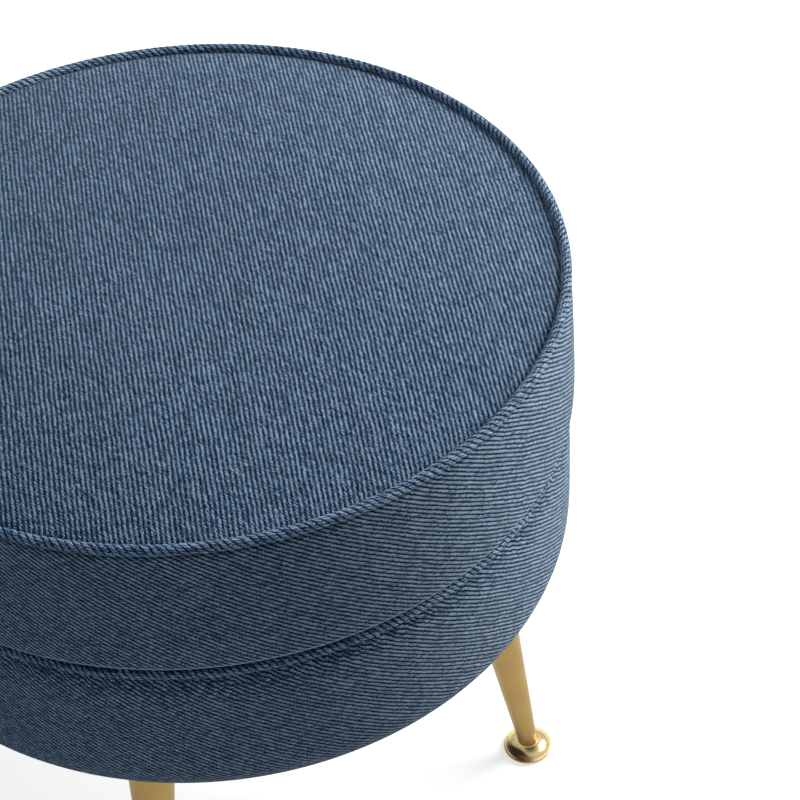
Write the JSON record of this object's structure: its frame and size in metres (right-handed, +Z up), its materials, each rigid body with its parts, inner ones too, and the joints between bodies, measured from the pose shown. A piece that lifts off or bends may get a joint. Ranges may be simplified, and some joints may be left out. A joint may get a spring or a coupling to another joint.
{
  "type": "pouf",
  "caption": "Round upholstered pouf in blue twill with a crowned, piped seat, a padded drum and splayed, tapered brass legs on flared feet",
  "frame": {"origin": "on the floor, midway between the four feet and below the middle of the seat", "axes": "+Z up along the drum's axis; the legs stand on the diagonals between X and Y, so +X and +Y each point between two legs"},
  "size_m": [0.4904, 0.4904, 0.4368],
  "materials": {
    "twill": "matte",
    "wadding": "matte",
    "foam": "matte",
    "plywood": "raw",
    "hardboard": "raw",
    "pine": "raw",
    "satin_brass": "satin",
    "polished_brass": "polished",
    "zinc_steel": "satin",
    "dust_cloth": "matte",
    "nylon": "matte"
  },
  "bodies": {
    "root": {"base_ring": "plywood", "base_staples": "zinc_steel", "crown_wadding": "wadding", "drum_foam": "foam", "drum_wall": "hardboard", "dust_cover": "dust_cloth", "foot_back_left": "polished_brass", "foot_back_right": "polished_brass", "foot_front_left": "polished_brass", "foot_front_right": "polished_brass", "glide_back_left": "nylon", "glide_back_right": "nylon", "glide_front_left": "nylon", "glide_front_right": "nylon", "leg_back_left": "satin_brass", "leg_back_right": "satin_brass", "leg_front_left": "satin_brass", "leg_front_right": "satin_brass", "leg_plate_back_left": "zinc_steel", "leg_plate_back_right": "zinc_steel", "leg_plate_front_left": "zinc_steel", "leg_plate_front_right": "zinc_steel", "lower_band": "twill", "lower_piping": "twill", "plate_screws": "zinc_steel", "post_1": "pine", "post_2": "pine", "post_3": "pine", "post_4": "pine", "post_5": "pine", "post_6": "pine", "post_screws_lower": "zinc_steel", "post_screws_upper": "zinc_steel", "ring_staples": "zinc_steel", "seat_board": "plywood", "seat_foam": "foam", "seat_screws": "zinc_steel", "seat_staples": "zinc_steel", "side_wadding": "wadding", "support_ring": "plywood", "top_panel": "twill", "top_piping": "twill", "upper_band": "twill"}
  },
  "joints": []
}
